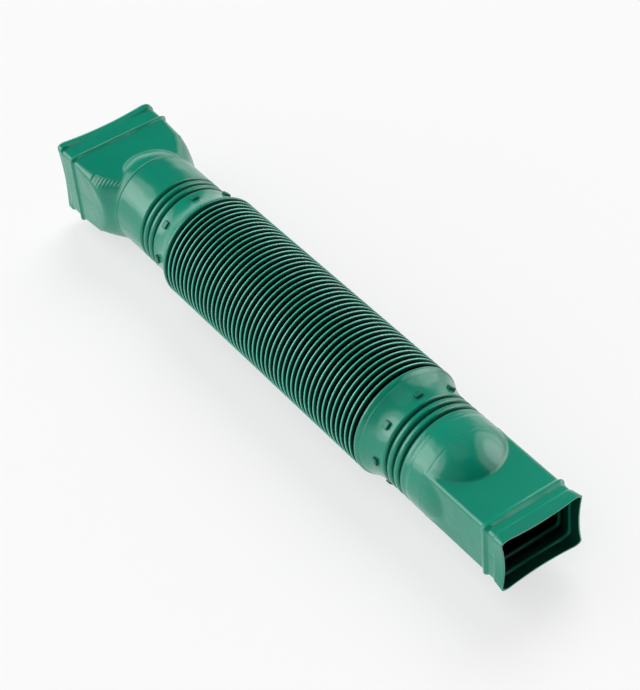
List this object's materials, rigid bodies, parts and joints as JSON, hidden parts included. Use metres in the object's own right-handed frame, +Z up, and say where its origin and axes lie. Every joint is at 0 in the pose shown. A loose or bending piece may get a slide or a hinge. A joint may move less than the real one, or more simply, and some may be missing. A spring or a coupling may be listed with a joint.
{
  "type": "rainwater diverter",
  "caption": "One-piece flexible downspout extension: a folded bellows pipe between two ringed necks that end in a wide and a narrow rectangular mouth.",
  "frame": {"origin": "on the floor, below the middle of the pipe's whole length", "axes": "+X along the pipe from the wide inlet mouth to the narrow outlet mouth, +Y across the mouths, +Z up"},
  "size_m": [0.7126, 0.1168, 0.1159],
  "materials": {
    "green_plastic": "semi-gloss soft polyethylene, moulded green all through"
  },
  "bodies": {
    "root": {"diverter_body": "green_plastic"}
  },
  "joints": []
}
